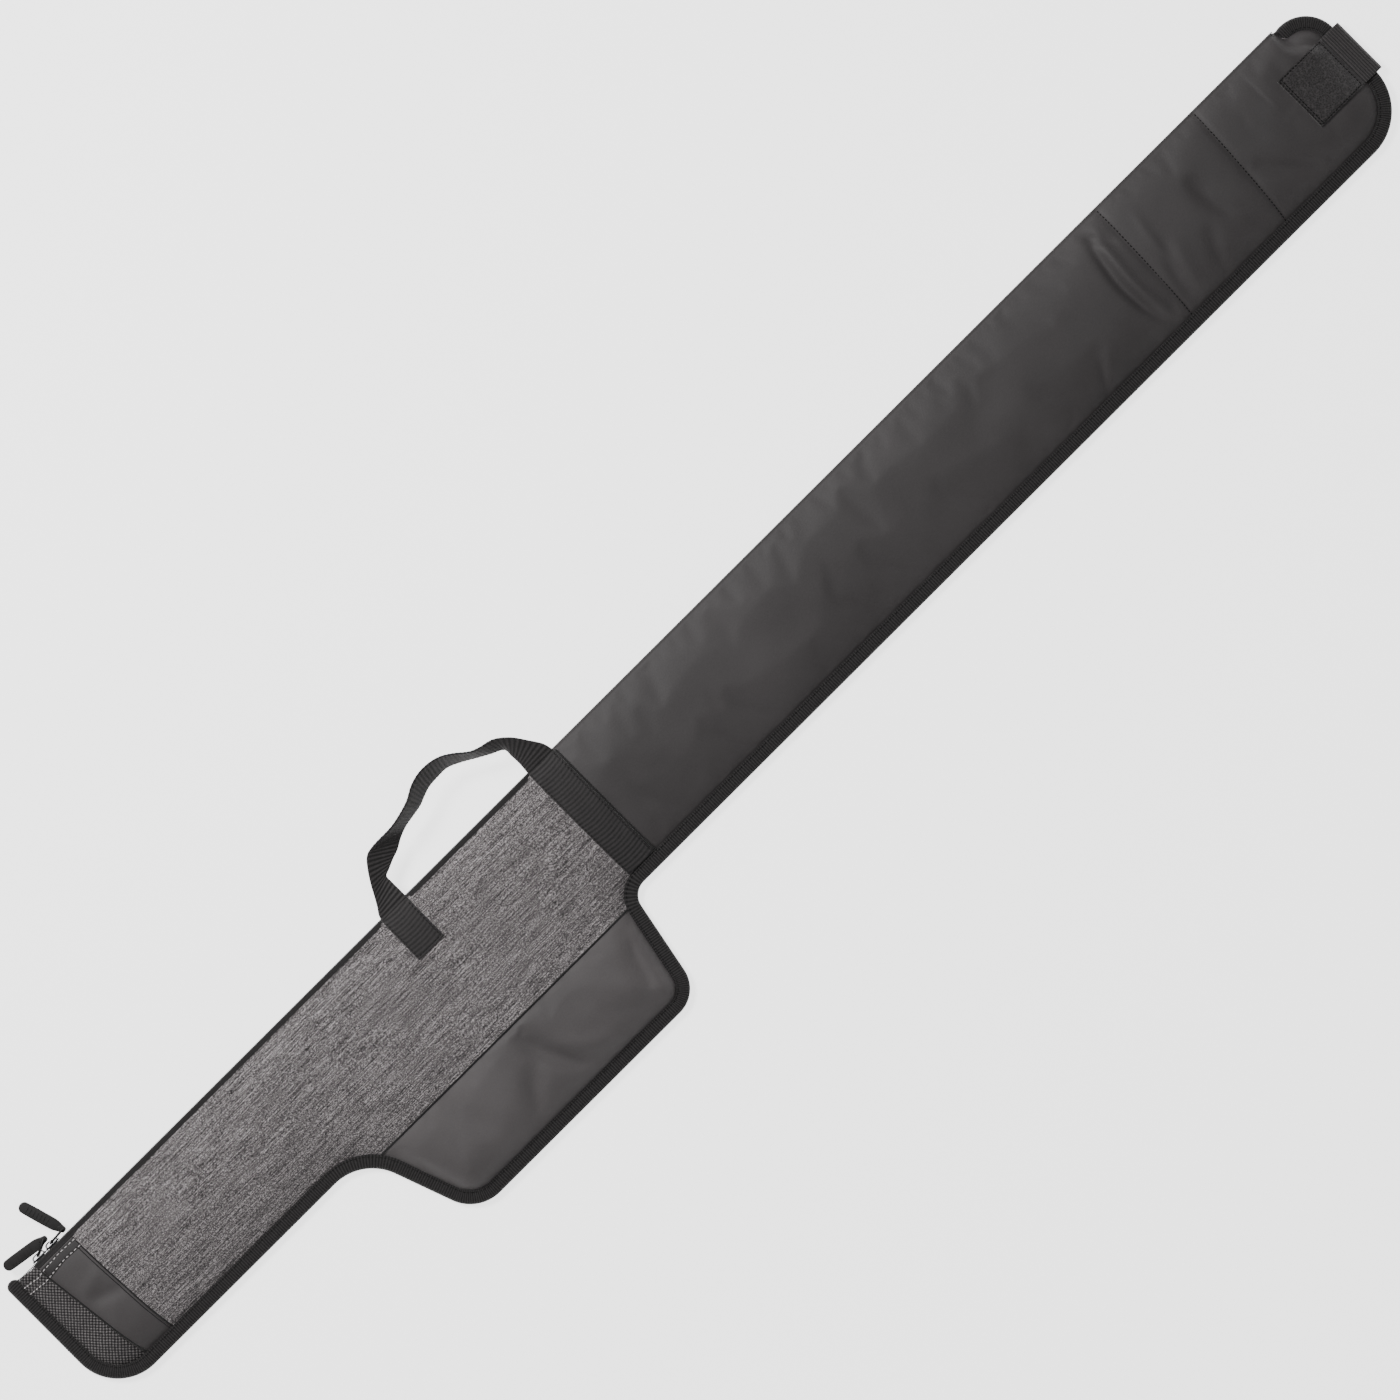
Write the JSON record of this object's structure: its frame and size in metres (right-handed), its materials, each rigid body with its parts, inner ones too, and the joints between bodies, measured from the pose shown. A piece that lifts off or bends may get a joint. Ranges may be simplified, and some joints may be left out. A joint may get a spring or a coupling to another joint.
{
  "type": "rod case",
  "caption": "Long soft padded fishing rod case with a wider reel pouch, edge zip with sliders, webbing carry handle and tip strap.",
  "frame": {"origin": "on the back face, in the middle of the tube's width, at the seam where the grip part ends and the rod tube begins", "axes": "+X along the case from butt to tip, +Y across it from the reel pouch to the zip edge, +Z out of its front"},
  "size_m": [1.4553, 0.28, 0.034],
  "materials": {
    "melange_fabric": "matt heather weave",
    "coated_fabric": "matt coated weave",
    "mesh_fabric": "matt open weave",
    "foam": "matt open cell foam",
    "lining": "brushed",
    "binding_tape": "ribbed tape",
    "webbing": "ribbed webbing",
    "piping": "satin",
    "hook_loop": "fine loop pile",
    "zip_tape": "matt tape",
    "zip_coil": "satin coil",
    "slider_metal": "satin nickel",
    "pull_wire": "black coated wire",
    "rubber_pull": "matt moulded"
  },
  "bodies": {
    "root": {"front_grip_panel": "melange_fabric", "reel_pouch_panel": "coated_fabric", "butt_band_panel": "coated_fabric", "rod_tube_panel": "coated_fabric", "tube_middle_panel": "coated_fabric", "tube_tip_panel": "coated_fabric", "back_panel": "coated_fabric", "butt_mesh_panel": "mesh_fabric", "back_padding": "foam", "front_padding": "foam", "back_lining": "lining", "front_lining": "lining", "edge_binding": "binding_tape", "cross_webbing": "webbing", "handle_left_patch": "webbing", "inner_rod_straps": "webbing", "cross_piping": "piping", "pouch_welt": "piping", "tip_strap_patch": "hook_loop", "tip_strap_turn": "hook_loop", "tip_loop_patch": "hook_loop", "zip_tape_front": "zip_tape", "zip_tape_back": "zip_tape", "zip_coil_front": "zip_coil", "zip_coil_back": "zip_coil", "zip_stop_butt": "slider_metal", "zip_stop_tip": "slider_metal"},
    "butt_slider": {"butt_slider_body": "slider_metal"},
    "butt_link": {"butt_slider_link": "pull_wire"},
    "butt_tab": {"butt_slider_tab": "rubber_pull"},
    "tip_slider": {"tip_slider_body": "slider_metal"},
    "tip_link": {"tip_slider_link": "pull_wire"},
    "tip_tab": {"tip_slider_tab": "rubber_pull"},
    "carry_handle": {"handle_loop": "webbing"},
    "strap_flap": {"tip_strap_flap": "hook_loop"}
  },
  "joints": [
    {"name": "tip_slider_slide", "type": "slide", "parent": "root", "child": "tip_slider", "axis": [1, 0, 0], "range_m": [0, 1.35]},
    {"name": "tip_link_turn", "type": "hinge", "parent": "tip_slider", "child": "tip_link", "pos_m": [-0.5431, 0.06645, 0.009], "axis": [0, 0, 1], "range_deg": [-4, 50]},
    {"name": "tip_tab_turn", "type": "hinge", "parent": "tip_link", "child": "tip_tab", "pos_m": [-0.52915, 0.06767, 0.009], "axis": [0, 0, 1], "range_deg": [-86, 30]},
    {"name": "butt_slider_slide", "type": "slide", "parent": "root", "child": "butt_slider", "axis": [-1, 0, 0], "range_m": [0, 0.0145]},
    {"name": "butt_link_turn", "type": "hinge", "parent": "butt_slider", "child": "butt_link", "pos_m": [-0.5576, 0.06645, 0.009], "axis": [0, 0, 1], "range_deg": [-3, 10]},
    {"name": "butt_tab_turn", "type": "hinge", "parent": "butt_link", "child": "butt_tab", "pos_m": [-0.54491, 0.07237, 0.009], "axis": [0, 0, 1], "range_deg": [-72, 2]},
    {"name": "handle_swing", "type": "hinge", "parent": "root", "child": "carry_handle", "pos_m": [-0.082, 0.06285, 0.0165], "axis": [1, 0, 0], "range_deg": [0, 90]},
    {"name": "strap_peel", "type": "hinge", "parent": "root", "child": "strap_flap", "pos_m": [0.8575, 0.00725, 0.0006], "axis": [0, -1, 0], "range_deg": [0, 170]}
  ]
}
